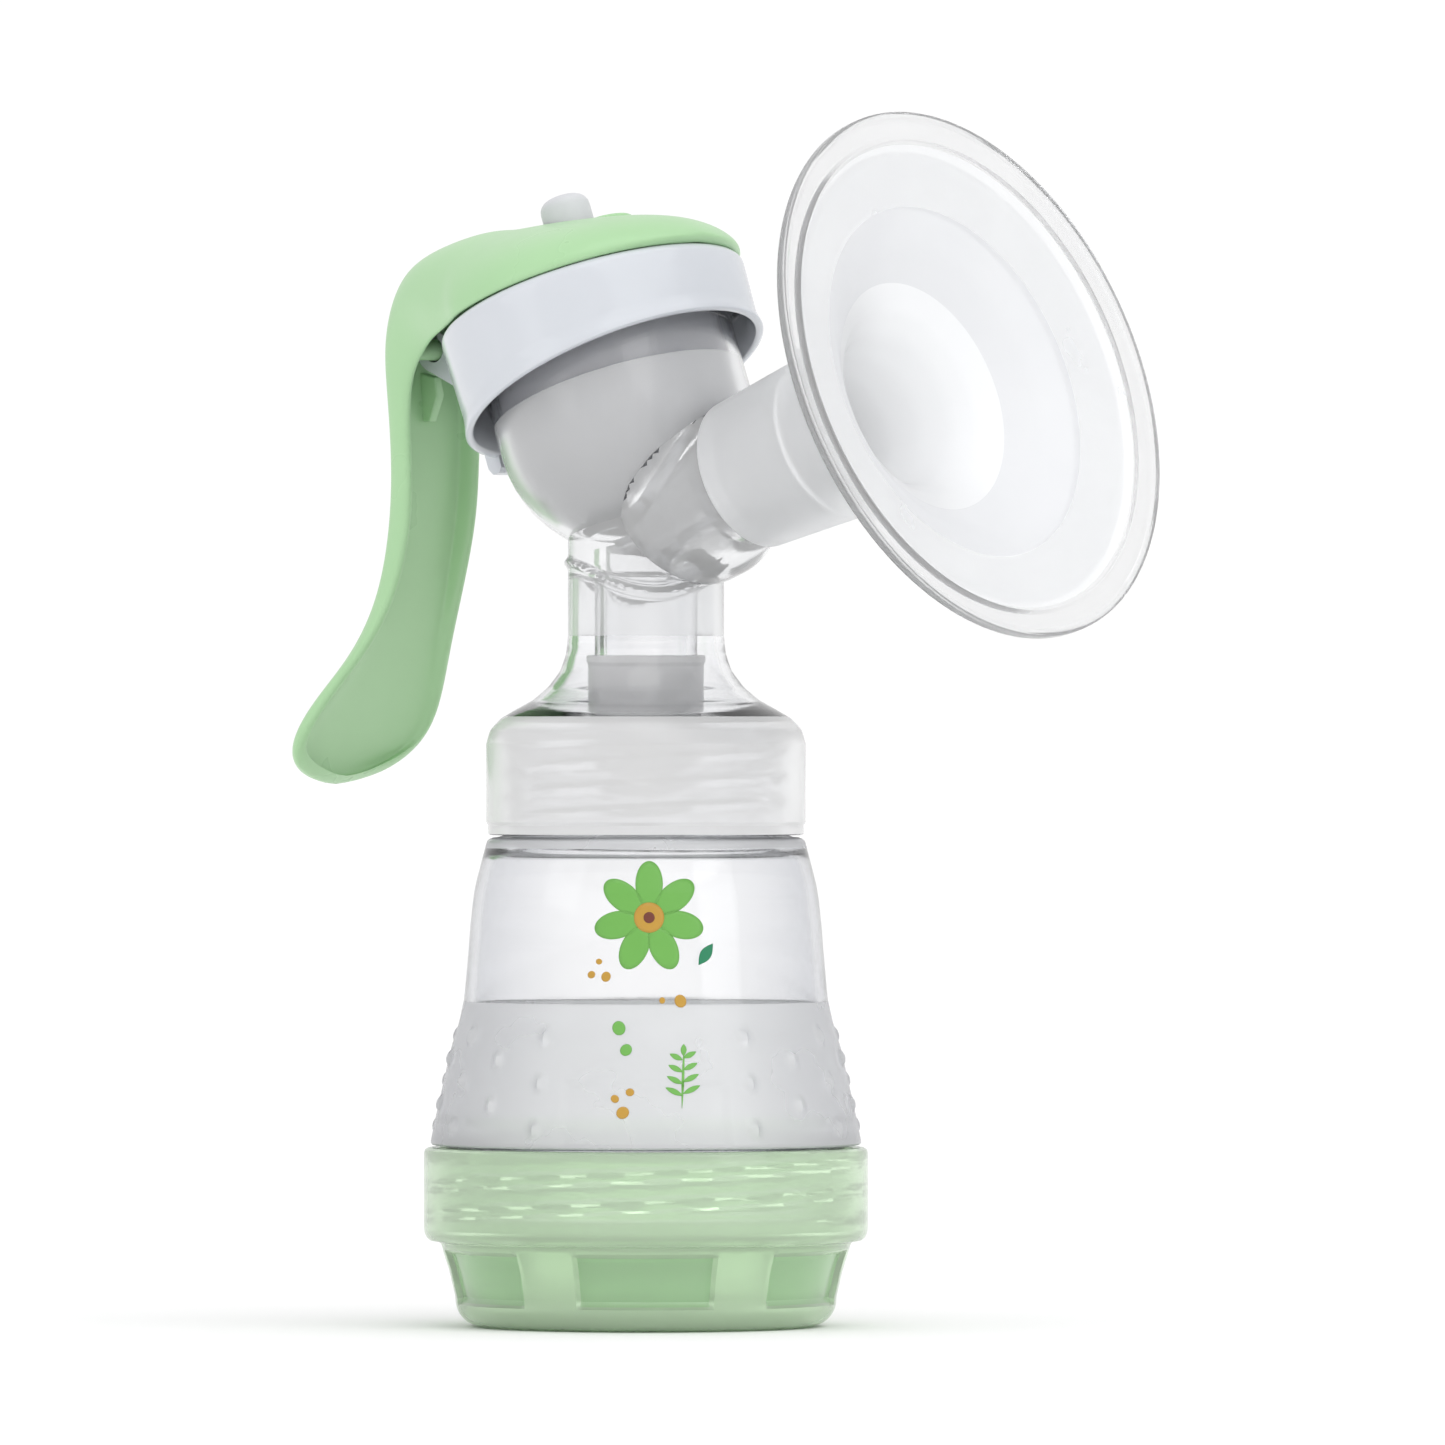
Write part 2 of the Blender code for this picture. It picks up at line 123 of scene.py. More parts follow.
def moulded(name, colours, roughness, grain, relief, patch=14.0, **constants):
    """A moulded surface: two close colours and a range of roughness that drift over patches,
    with a fine grain. Grain, relief and patch are in millimetres."""
    mat = bpy.data.materials.new(name)
    mat.use_nodes = True
    tree = mat.node_tree
    shader = tree.nodes["Principled BSDF"]
    for socket, value in constants.items():
        shader.inputs[socket.replace("_", " ")].default_value = value
    place = add(tree, "ShaderNodeTexCoord").outputs["Object"]
    drift = add(
        tree, "ShaderNodeTexNoise", {"Vector": place, "Scale": 1 / (patch * MM), "Detail": 3.0}
    ).outputs["Fac"]
    tint = add(
        tree,
        "ShaderNodeMix",
        {0: drift, 6: linear(colours[0]), 7: linear(colours[1])},
        data_type="RGBA",
    )
    tree.links.new(tint.outputs[2], shader.inputs["Base Color"])
    smoothest, roughest = roughness
    polish = add(
        tree,
        "ShaderNodeMapRange",
        {"Value": drift, "From Min": 0.3, "From Max": 0.7, "To Min": smoothest, "To Max": roughest},
    )
    tree.links.new(polish.outputs["Result"], shader.inputs["Roughness"])
    texture = add(
        tree, "ShaderNodeTexNoise", {"Vector": place, "Scale": 1 / (grain * MM), "Detail": 2.0}
    ).outputs["Fac"]
    bump = add(tree, "ShaderNodeBump", {"Height": texture, "Distance": relief * MM, "Strength": 1.0})
    tree.links.new(bump.outputs["Normal"], shader.inputs["Normal"])
    return mat


def absorbing(mat, colour, density):
    """Gives a see-through plastic the depth of colour that thick places show."""
    tree = mat.node_tree
    depth = add(tree, "ShaderNodeVolumeAbsorption", {"Color": linear(colour), "Density": density})
    tree.links.new(depth.outputs["Volume"], tree.nodes["Material Output"].inputs["Volume"])
    return mat


def painted_edge_reflection(mat, colour):
    """Paints grey into a clear plastic's colour where its wall turns away from the eye: a painted
    reflection of a dark room, in place of what glassy walls show.
    """
    tree = mat.node_tree
    base = tree.nodes["Principled BSDF"].inputs["Base Color"]
    turn = add(tree, "ShaderNodeLayerWeight", {"Blend": 0.5}).outputs["Facing"]
    even = base.links[0].from_socket
    tint = add(tree, "ShaderNodeMix", {0: turn, 6: even, 7: linear(colour)}, data_type="RGBA")
    tree.links.new(tint.outputs[2], base)
    return mat


def milky_outside(mat, clarity):
    """Makes the outer skin of a clear wall milky; light that meets it from within passes freely."""
    tree = mat.node_tree
    within = add(tree, "ShaderNodeNewGeometry").outputs["Backfacing"]
    share = add(tree, "ShaderNodeMapRange", {"Value": within, "To Min": clarity, "To Max": 1.0})
    tree.links.new(share.outputs["Result"], tree.nodes["Principled BSDF"].inputs["Transmission Weight"])
    return mat


def clear_polypropylene(name, edge, density):
    """Injection-moulded clear polypropylene: glassy, with a little grey painted in where the wall is
    seen edge on, as a painted reflection.
    """
    mat = moulded(
        f"polypropylene_clear_{name}_moulded", ("#FFFFFF", "#FDFDFE"), (0.04, 0.09), 9.0, 0.012,
        Transmission_Weight=1.0, IOR=1.45,
    )
    # The edge grey is painted into the base colour: a painted reflection where the wall turns away.
    return absorbing(painted_edge_reflection(mat, edge), "#B4B6BC", density)


def hazy_polypropylene():
    """Polypropylene of the skirt, from a matt part of the mould: milky, with soft thread lines."""
    mat = moulded(
        "polypropylene_hazy_moulded", ("#FFFFFF", "#FBFBFC"), (0.16, 0.24), 9.0, 0.012, IOR=1.45,
    )
    return absorbing(milky_outside(mat, 0.4), "#B4B6BC", 34.0)


def veiled_polypropylene():
    """The same plastic on the bowl and the branch: nearly clear, with a faint milky veil."""
    mat = moulded(
        "polypropylene_veiled_moulded", ("#FAFAFB", "#F5F6F7"), (0.08, 0.14), 9.0, 0.012, IOR=1.45,
    )
    return absorbing(milky_outside(mat, 0.6), "#B4B6BC", 8.0)


def frosted_polypropylene():
    """The same plastic from a spark-eroded part of the mould: it blurs what is behind it."""
    mat = moulded(
        "polypropylene_frosted_moulded", ("#F0F1F2", "#EAEBED"), (0.22, 0.3), 0.9, 0.004, IOR=1.45,
    )
    # The grey on the grip's sides is painted into its colour: a painted reflection where the wall turns
    # away.
    return absorbing(milky_outside(painted_edge_reflection(mat, "#BFC0C5"), 0.4), "#B4B6BC", 34.0)


def green_polypropylene():
    """Tinted polypropylene, moulded glossy: light passes, and the threads behind show through."""
    mat = moulded(
        "polypropylene_green_tinted_moulded", ("#E2F8DA", "#DAF3D1"), (0.14, 0.2), 6.0, 0.01,
        IOR=1.47,
    )
    return absorbing(milky_outside(mat, 0.56), "#9AD690", 20.0)


def green_window():
    """The same tinted plastic in the recessed windows, where the mould is polished: deeper in tone."""
    mat = moulded(
        "polypropylene_green_window_polished", ("#CBEFC2", "#C3EABA"), (0.06, 0.12), 6.0, 0.01,
        IOR=1.47,
    )
    return absorbing(milky_outside(mat, 0.5), "#9AD690", 20.0)


def green_handle():
    """Opaque polypropylene with a satin mould finish: broad soft highlights and a faint grain."""
    return moulded(
        "polypropylene_green_satin_moulded", ("#ADD5A5", "#A7D09F"), (0.26, 0.34), 0.6, 0.006,
        IOR=1.49,
    )


def white_lid():
    """Cool white polypropylene, polished mould: crisp highlights on a faintly blue white."""
    return moulded(
        "polypropylene_white_polished_moulded", ("#D4D7DD", "#CED2D8"), (0.1, 0.18), 5.0, 0.01,
        IOR=1.49, Coat_Weight=0.2,
    )


def milky_silicone():
    """Liquid silicone rubber, undyed: milky and soft to the eye."""
    mat = moulded("silicone_milky_moulded", ("#F5F6F7", "#EFF0F2"), (0.3, 0.42), 0.6, 0.006, IOR=1.41)
    return milky_outside(mat, 0.42)


def flange_silicone():
    """Silicone of the flange, thin and half clear: pale grey with a satin shine."""
    return moulded(
        "silicone_satin_moulded", ("#F2F3F4", "#EBECEE"), (0.18, 0.28), 0.8, 0.012,
        Transmission_Weight=0.35, IOR=1.41,
    )


def cone_silicone():
    """Silicone of the cone, where the wall is thick: a greyer, duller zone between two edges."""
    return moulded(
        "silicone_dull_moulded", ("#E4E5E7", "#DEDFE2"), (0.35, 0.45), 0.6, 0.006,
        Transmission_Weight=0.22, IOR=1.41,
    )


def glassy_silicone():
    """The same silicone from a polished part of the mould: a clear, shiny rim."""
    mat = moulded(
        "silicone_clear_polished_moulded", ("#FFFFFF", "#FAFAFB"), (0.05, 0.1), 7.0, 0.012,
        Transmission_Weight=0.8, IOR=1.45,
    )
    return absorbing(mat, "#808388", 70.0)


def grey_silicone():
    """Grey translucent silicone of the membrane: an even grey behind the clear bowl."""
    return moulded(
        "silicone_grey_moulded", ("#DEDFE3", "#D7D8DD"), (0.35, 0.48), 0.8, 0.004,
        IOR=1.41,
    )


def knob_silicone():
    """Pale grey silicone of the stem's knob, satin."""
    return moulded(
        "silicone_pale_grey_moulded", ("#D4D5D8", "#CBCCD0"), (0.3, 0.4), 0.6, 0.012,
        IOR=1.41,
    )


def valve_silicone():
    """Undyed silicone of the duckbill, cured white and matt."""
    return moulded("silicone_white_moulded", ("#FFFFFF", "#FCFCFD"), (0.35, 0.45), 0.6, 0.012, IOR=1.41)


def print_ink(name, colours):
    """Screen-printed ink: a thin, slightly satin coat of flat colour with a faint edge to its gloss."""
    return moulded("screen_ink_" + name, colours, (0.28, 0.42), 0.35, 0.006, patch=3.0)


# ---------------------------------------------------------------- outlines


def arc(centre, radius, start, end, count):
    """Points on an arc, angles in degrees from the first axis."""
    turns = [math.radians(start + (end - start) * i / count) for i in range(count + 1)]
    return [(centre[0] + radius * math.cos(a), centre[1] + radius * math.sin(a)) for a in turns]


def flow(points, spacing):
    """A smooth curve through points, with a point about every spacing."""
    run = [points[0], *points, points[-1]]
    curve = []
    for a, b, c, d in zip(run, run[1:], run[2:], run[3:]):
        count = max(1, round(math.dist(b, c) / spacing))
        for k in range(count):
            t = k / count
            curve.append(tuple(
                0.5 * (
                    2 * q
                    + (r - p) * t
                    + (2 * p - 5 * q + 4 * r - s) * t**2
                    + (3 * q - p - 3 * r + s) * t**3
                )
                for p, q, r, s in zip(a, b, c, d)
            ))
    curve.append(tuple(points[-1]))
    return curve


def rounded(corners, closed=True, turn_step=18):
    """An outline from corners (r, z, fillet radius), each fillet an arc of about turn_step a side."""
    outline = []
    for i, (x, y, radius) in enumerate(corners):
        here = Vector((x, y))
        at_end = not closed and i in (0, len(corners) - 1)
        if radius == 0 or at_end:
            outline.append((x, y))
            continue
        before = Vector(corners[i - 1][:2]) - here
        after = Vector(corners[(i + 1) % len(corners)][:2]) - here
        half = before.angle(after) / 2
        reach = min(radius / math.tan(half), 0.48 * before.length, 0.48 * after.length)
        radius = reach * math.tan(half)
        before.normalize()
        after.normalize()
        middle = here + (before + after).normalized() * (radius / math.sin(half))
        first = here + before * reach - middle
        last = here + after * reach - middle
        sweep = math.atan2(first.x * last.y - first.y * last.x, first.dot(last))
        count = max(2, round(abs(math.degrees(sweep)) / turn_step))
        for k in range(count + 1):
            spoke = Matrix.Rotation(sweep * k / count, 2) @ first
            outline.append(tuple(middle + spoke))
    return outline


# ---------------------------------------------------------------- making pieces


def turned(outline, steps=FINE, closed=True, start=0.0):
    """A bmesh spun about Z from an outline of (r, z), started at an azimuth in degrees."""
    bm = bmesh.new()
    verts = [bm.verts.new((r, 0.0, z)) for r, z in outline]
    edges = [bm.edges.new(pair) for pair in zip(verts, verts[1:])]
    if closed:
        edges.append(bm.edges.new((verts[-1], verts[0])))
    bmesh.ops.rotate(bm, verts=verts, matrix=Matrix.Rotation(math.radians(start), 3, "Z"))
    bmesh.ops.spin(
        bm, geom=verts + edges, cent=(0, 0, 0), axis=(0, 0, 1), angle=2 * math.pi, steps=steps,
        use_merge=True,
    )
    bmesh.ops.remove_doubles(bm, verts=bm.verts, dist=0.004)
    bmesh.ops.recalc_face_normals(bm, faces=bm.faces)
    return bm


def prism(outline, half_width, bevel=0.0):
    """A flat outline of (x, z) with a thickness along Y, its edges bevelled."""
    bm = bmesh.new()
    face = bm.faces.new([bm.verts.new((x, -half_width, z)) for x, z in outline])
    side = bmesh.ops.extrude_face_region(bm, geom=[face])["geom"]
    raised = [item for item in side if isinstance(item, bmesh.types.BMVert)]
    bmesh.ops.translate(bm, verts=raised, vec=(0, 2 * half_width, 0))
    if bevel:
        rims = [edge for edge in bm.edges if abs(edge.verts[0].co.y - edge.verts[1].co.y) < 0.001]
        bmesh.ops.bevel(
            bm, geom=rims, offset=bevel, segments=3, profile=0.5, affect="EDGES", material=-1,
            clamp_overlap=True,
        )
    bmesh.ops.recalc_face_normals(bm, faces=bm.faces)
    return bm


def rod(radius, low, high, sides=48, axis="Z", centre=(0, 0, 0)):
    """A closed cylinder along a local axis."""
    bm = bmesh.new()
    bmesh.ops.create_cone(
        bm, cap_ends=True, segments=sides, radius1=radius, radius2=radius, depth=high - low
    )
    bmesh.ops.translate(bm, verts=bm.verts, vec=(0, 0, (high + low) / 2))
    if axis == "Y":
        bmesh.ops.rotate(bm, verts=bm.verts, matrix=Matrix.Rotation(-math.pi / 2, 3, "X"))
    bmesh.ops.translate(bm, verts=bm.verts, vec=centre)
    return bm


def solid(name, bm, place=UPRIGHT):
    """An object from a bmesh, with its place in its mesh."""
    bmesh.ops.transform(bm, matrix=place, verts=bm.verts)
    mesh = bpy.data.meshes.new(name)
    bm.to_mesh(mesh)
    bm.free()
    piece = bpy.data.objects.new(name, mesh)
    scene.collection.objects.link(piece)
    return piece


def settle(piece):
    """Applies a piece's modifiers to its mesh."""
    bpy.context.view_layer.update()
    graph = bpy.context.evaluated_depsgraph_get()
    mesh = bpy.data.meshes.new_from_object(piece.evaluated_get(graph))
    piece.modifiers.clear()
    piece.data = mesh


def carve(piece, *steps):
    """Joins or cuts a piece with tools, in order, and removes the tools."""
    for operation, tool in steps:
        cut = piece.modifiers.new(tool.name, "BOOLEAN")
        cut.operation = operation
        cut.solver = "EXACT"
        cut.object = tool
    settle(piece)
    for operation, tool in steps:
        bpy.data.objects.remove(tool)


def finished(piece, body, node, slot, *mats, sharp=38.0):
    """Shades a piece, gives it its materials, and puts it on its body in place of its CAD node."""
    for mat in mats:
        piece.data.materials.append(mat)
    piece.data.shade_smooth()
    piece.data.set_sharp_from_angle(angle=math.radians(sharp))
    if body:
        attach(piece, body)
    if node:
        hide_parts(node)
    return piece


def ease(value):
    """A smooth step from 0 to 1."""
    t = min(max(value, 0.0), 1.0)
    return t * t * (3 - 2 * t)


def ridge(height, width, edge):
    """A rounded ridge's share of its full height, at a distance from its crest line."""
    return ease((width / 2 + edge / 2 - abs(height)) / edge)


def push_out(vert, distance):
    """Moves a vertex away from the Z axis, or towards it where the distance is negative."""
    r = math.hypot(vert.co.x, vert.co.y)
    if r:
        vert.co.x *= (r + distance) / r
        vert.co.y *= (r + distance) / r


def around(vert):
    """A vertex's azimuth in degrees, its distance from the Z axis, and its height."""
    azimuth = math.degrees(math.atan2(vert.co.y, vert.co.x))
    return azimuth, math.hypot(vert.co.x, vert.co.y), vert.co.z


def thread(azimuth, height, lead, span, width, edge, between=False):
    """Share of full height of a two-start thread, which fades out at both ends of its span.
    With between, it runs between the threads of the piece that it screws into."""
    along = abs((height - azimuth / 360 * lead) % (lead / 2) - lead / 4)
    if between:
        along = abs(along - lead / 4)
    return ease(height - span[0]) * ease(span[1] - height) * ridge(along, width, edge)


# ---------------------------------------------------------------- base and bottle


WINDOWS = 6
WINDOW_HALF = 11.6  # mm round the bowl from a window's middle to its frame
WINDOW_LOW, WINDOW_HIGH = 3.3, 11.8


def window_depth(azimuth, height, radius):
    """How deep the framed windows are sunk at a place on the base's bowl, from 0 to 1."""
    pitch = 360 / WINDOWS
    away = (azimuth - FRONT + pitch / 2) % pitch - pitch / 2
    across = abs(math.radians(away)) * radius
    narrowing = 0.1 * (WINDOW_HIGH - height)
    chamfer = 0.8
    sides = ease((WINDOW_HALF - narrowing - across) / chamfer)
    return sides * ease((height - WINDOW_LOW) / chamfer) * ease((WINDOW_HIGH - height) / chamfer)


def make_base():
    """The screw base: a collar with inner threads over a cup with six framed windows."""
    steps = 360
    ledge = 14.6
    bore = 32.2
    threads = (ledge + 1.2, 26.4)
    thread_height = 0.5
    window_sink = 1.0
    outline = [(33.0, 27.4), (33.6, 27.3), (34.0, 27.0), (34.15, 26.5)]
    outline += flow([(34.15, 25.0), (34.15, 15.0)], 2.0)
    outline += [(34.05, 14.2), (33.7, 13.5), (33.2, 13.1), (32.2, 12.95), (31.7, 12.75)]
    bowl = [(31.45, 12.35), (31.3, 11.8), (31.0, 10.7), (30.3, 8.5), (29.8, 6.4), (29.35, 4.5)]
    outline += flow(bowl, 0.42)
    outline += arc((25.2, 4.0), 4.1, -4, -90, 14)
    outline += [(24.0, 0.35), (22.6, 0.35), (22.0, 0.0), (12.0, 0.0)]
    outline += [(0.0, 0.0), (0.0, 2.0), (12.0, 2.0), (23.6, 2.0), (25.2, 2.5), (26.2, 3.3)]
    outline += [(26.9, 4.6), (27.5, 6.4), (28.2, 9.0), (29.0, 11.4), (29.5, 12.8)]
    outline += [(29.5, ledge - 0.2), (29.7, ledge), (32.0, ledge)]
    outline += flow([(bore, ledge + 0.3), (bore, 26.6)], 0.4) + [(32.35, 27.2)]
    bm = turned(outline, steps, start=FRONT)
    for vert in bm.verts:
        azimuth, r, z = around(vert)
        outside_bowl = r > 28.0 + 0.14 * z
        if abs(r - bore) < 0.1 and threads[0] < z < threads[1]:
            push_out(vert, -thread_height * thread(azimuth, z, FOOT_LEAD, threads, 1.3, 0.5))
        elif outside_bowl and WINDOW_LOW < z < WINDOW_HIGH:
            push_out(vert, -window_sink * window_depth(azimuth, z, r))
    for face in bm.faces:
        at = face.calc_center_median()
        r = math.hypot(at.x, at.y)
        outer = r > 27.0 and face.normal.x * at.x + face.normal.y * at.y > 0.5 * r
        if outer and window_depth(math.degrees(math.atan2(at.y, at.x)), at.z, r) > 0.9:
            face.material_index = 1
    piece = solid("base_cup_shell", bm)
    holes = []
    hole_radius, hole_reach = 1.5, 13.0
    for k in range(4):
        a = math.radians(45 + 90 * k)
        centre = (hole_reach * math.cos(a), hole_reach * math.sin(a), 0)
        hole = solid(f"air_hole_{k + 1}", rod(hole_radius, -2, 4, 32, centre=centre))
        holes.append(("DIFFERENCE", hole))
    carve(piece, *holes)
    return finished(piece, "base", "base_cup", "green_tinted_plastic", green, window_green, sharp=30)


def make_vent_valve():
    """The silicone disc that lets air in under the milk: a lip, a ring and a dished middle."""
    low = 14.9
    outline = rounded([
        (31.4, low + 1.5, 0.4), (31.4, low, 0.4), (27.8, low, 0.2), (27.0, low + 0.4, 0.2),
        (18.5, low + 0.4, 0.2), (18.0, low - 0.4, 0.2), (17.0, low - 0.4, 0.2), (16.5, low + 0.4, 0.2),
        (9.0, low + 0.4, 0.5), (7.0, low - 1.2, 0.5), (0.0, low - 1.6, 0.0),
        (0.0, low - 0.6, 0.0), (6.2, low - 0.3, 0.5), (8.2, low + 1.5, 0.4),
    ])
    piece = solid("vent_valve_disc", turned(outline, 96))
    return finished(piece, "vent", "vent_valve", "clear_silicone", milky)


GRIP_OUTLINE = [(33.1, 28.4), (32.3, 32.3), (31.1, 37.7), (29.9, 42.9), (28.85, 46.3), (28.1, 49.6)]
UPPER_OUTLINE = [(28.05, 49.8), (27.75, 53.0), (27.4, 57.0), (27.0, 61.8)]
UPPER_OUTLINE += [(26.4, 66.8), (25.5, 70.6), (24.6, 74.0)]
PANEL_TOP = 38.2


def bottle_radius(height):
    """The bottle's outer radius between its foot and its shoulder."""
    run = GRIP_OUTLINE + UPPER_OUTLINE
    for (r0, z0), (r1, z1) in zip(run, run[1:]):
        if z0 <= height <= z1:
            return r0 + (r1 - r0) * (height - z0) / (z1 - z0)
    return run[0][0] if height < run[0][1] else run[-1][0]


def grip_pips():
    """Places (degrees from the printed side, height) of the raised grip pips, in staggered columns."""
    columns = 8
    first_column, column_step = 31.0, 16.9
    pitch = 7.0
    top = 44.8
    places = []
    for k in range(columns):
        away = first_column + k * column_step
        rows = (top, top - pitch, top - 2 * pitch)
        if k % 2:
            rows = (top - 0.5 * pitch, top - 1.5 * pitch)
        places += [(side * away, height) for side in (-1, 1) for height in rows]
    return places


def bottle_relief(away, height, pips):
    """How far the bottle's outer skin stands out, at an angle from the printed side and a height."""
    pip_height, pip_half_width, pip_half_length = 0.7, 0.95, 1.45
    panel_sink = 0.22
    r = bottle_radius(height)
    out = 0.0
    for angle, middle in pips:
        if abs(height - middle) < 2.0 and abs(away - angle) < 4.0:
            across = math.radians(away - angle) * r / pip_half_width
            along = (height - middle) / pip_half_length
            out += pip_height * ease(1.25 - math.hypot(across, along))
    panel = ease((24.0 - abs(away)) / 1.2) * ease((PANEL_TOP - height) / 0.8)
    back = ease((abs(away) - 161.0) / 1.2) * ease((47.0 - height) / 0.8)
    return out - panel_sink * (panel + back)


def make_bottle():
    """The bottle: threaded foot, frosted grip with pips, clear shoulder and threaded neck."""
    steps = 288
    foot = 16.7
    foot_wall, foot_threads = 30.7, (17.6, 26.9)
    neck_wall, neck_threads = 21.1, (78.0, 90.5)
    outline = rounded([(20.1, 91.8, 0), (20.9, 91.7, 0.3), (21.1, 91.0, 0.2)], closed=False)
    outline += flow([(neck_wall, 90.6), (neck_wall, 78.0)], 0.36)
    outline += [(21.15, 77.0), (21.4, 76.1), (21.9, 75.4), (22.6, 75.1)]
    outline += [(23.5, 75.02), (24.1, 74.8), (24.45, 74.45)]
    outline += flow(UPPER_OUTLINE[::-1], 1.0)
    outline += flow(GRIP_OUTLINE[::-1], 0.5)
    outline += [(33.1, 28.05), (32.9, 27.8), (32.4, 27.7), (31.2, 27.65), (30.75, 27.4)]
    outline += flow([(foot_wall, 26.9), (foot_wall, 17.6)], 0.36)
    outline += [(30.6, 17.0), (30.3, foot), (29.0, foot), (28.7, 17.0), (28.7, 20.0), (28.75, 24.0)]
    outline += flow([(28.9, 27.0), (30.7, 31.4), (30.3, 34.0), (29.5, 37.6), (28.3, 42.6)], 1.6)
    outline += flow([(27.2, 46.0), (26.4, 49.5), (25.8, 57.0), (24.8, 66.6), (23.4, 72.2)], 1.6)
    outline += flow([(22.2, 74.0), (20.9, 75.2), (19.9, 76.6), (19.6, 78.4)], 0.8)
    outline += [(19.6, 84.0), (19.6, 91.0), (19.75, 91.6)]
    bm = turned(outline, steps, start=FRONT)
    pips = grip_pips()
    for vert in bm.verts:
        azimuth, r, z = around(vert)
        if abs(r - foot_wall) < 0.05 and foot_threads[0] < z < foot_threads[1]:
            push_out(vert, 0.8 * thread(azimuth, z, FOOT_LEAD, foot_threads, 2.0, 0.8, between=True))
        elif abs(r - neck_wall) < 0.02 and neck_threads[0] < z < neck_threads[1]:
            push_out(vert, 0.9 * thread(azimuth, z, NECK_LEAD, neck_threads, 1.1, 1.1))
        elif 28.3 < z < 49.4 and r > bottle_radius(z) - 0.4:
            push_out(vert, bottle_relief((azimuth - FRONT + 180) % 360 - 180, z, pips))
    for face in bm.faces:
        at = face.calc_center_median()
        r = math.hypot(at.x, at.y)
        grip = 27.7 < at.z < 49.85 and r > 25.0
        shoulder = 73.4 < at.z < 77.0 and r > 20.0
        if grip or shoulder:
            face.material_index = 1
    piece = solid("bottle_shell", bm)
    return finished(piece, "bottle", "bottle", "clear_plastic", clear, frosted)


# ---------------------------------------------------------------- print on the bottle


def spot_mesh(sides=40, cuts=3):
    """A flat unit disc with inner points, for ink that follows the bottle's curve."""
    bm = bmesh.new()
    bmesh.ops.create_circle(bm, cap_ends=True, cap_tris=True, segments=sides, radius=1.0)
    bmesh.ops.subdivide_edges(bm, edges=bm.edges, cuts=cuts, use_grid_fill=True)
    mesh = bpy.data.meshes.new("spot")
    bm.to_mesh(mesh)
    bm.free()
    return mesh


def printed(name, mat, spots, point=0.0, lift=0.03):
    """Ink spots on the bottle: each is (across, height, half length, half width, turn in degrees).
    A spot with a point narrows to a tip, like a leaf."""
    disc = spot_mesh()
    bm = bmesh.new()
    for across, height, length, width, turn in spots:
        known = len(bm.verts)
        bm.from_mesh(disc)
        bm.verts.ensure_lookup_table()
        c, s = math.cos(math.radians(turn)), math.sin(math.radians(turn))
        for vert in bm.verts[known:]:
            u = vert.co.x * length
            v = vert.co.y * width * (1 - point * vert.co.x**2)
            z = height + u * s + v * c
            r = bottle_radius(z) + lift
            if z < PANEL_TOP + 0.2:
                r += bottle_relief(0.0, z, [])
            angle = math.radians(FRONT) + (across + u * c - v * s) / r
            vert.co = (r * math.cos(angle), r * math.sin(angle), z)
    bmesh.ops.recalc_face_normals(bm, faces=bm.faces)
    piece = solid(name, bm)
    film = piece.modifiers.new("film", "SOLIDIFY")
    film.thickness = 0.04 * MM
    film.offset = 1.0
    bpy.data.meshes.remove(disc)
    return finished(piece, "bottle", None, "clear_plastic", mat)


def make_print():
    """A plain flower over scattered dots and a leafy sprig."""
    green_ink = print_ink("leaf_green", ("#70B152", "#6AAC4C"))
    ochre_ink = print_ink("ochre", ("#C2963A", "#BB8F34"))
    teal_ink = print_ink("deep_green", ("#15845A", "#107A52"))
    brown_ink = print_ink("brown", ("#74392A", "#6C3324"))
    middle, height = 0.6, 63.0
    petal_count, petal_reach = 7, 5.1
    petals = []
    for k in range(petal_count):
        turn = 90 + k * 360 / petal_count
        across = middle + petal_reach * math.cos(math.radians(turn))
        petals.append((across, height + petal_reach * math.sin(math.radians(turn)), 3.5, 2.1, turn))
    printed("print_flower", green_ink, petals)
    printed("print_flower_heart", ochre_ink, [(middle, height, 2.3, 2.3, 0)], lift=0.06)
    printed("print_flower_seed", brown_ink, [(middle, height, 0.85, 0.85, 0)], lift=0.09)
    printed("print_flower_leaf", teal_ink, [(9.4, 57.4, 2.0, 0.9, 55)], point=0.75)
    dots = [(-7.1, 56.3, 0.5), (-8.3, 54.3, 0.62), (-6.0, 54.0, 0.8), (2.6, 50.4, 0.5)]
    dots += [(5.4, 50.3, 1.0), (-4.6, 35.5, 0.65), (-2.3, 36.5, 0.65), (-3.4, 33.4, 1.0)]
    spots = [(u, z, r, 0.9 * r, 30 * i) for i, (u, z, r) in enumerate(dots)]
    printed("print_ochre_dots", ochre_ink, spots)
    spots = [(-4.0, 46.2, 1.0, 1.08, 20), (-2.9, 42.9, 0.95, 0.85, 40)]
    printed("print_green_dots", green_ink, spots)
    stalk = [(5.8, 38.6, 4.6, 0.2, 88), (5.9, 42.9, 0.9, 0.45, 90)]
    sprig = list(stalk)
    for k in range(4):
        leaf_height = 36.6 + 1.75 * k
        reach = 1.45 - 0.12 * k
        sprig.append((5.75 - 1.3 + 0.1 * k, leaf_height, reach, 0.42, 155))
        sprig.append((5.85 + 1.3 - 0.1 * k, leaf_height + 0.3, reach, 0.42, 25))
    printed("print_sprig", green_ink, sprig, point=0.5)


# ---------------------------------------------------------------- pump body


UPPER_NECK = 12.0  # mm, outer radius of the pump body's neck under the bowl
BRANCH_LENGTH = 36.0
CLEAR_FINISH, HAZY_FINISH, VEILED_FINISH = 0, 1, 2


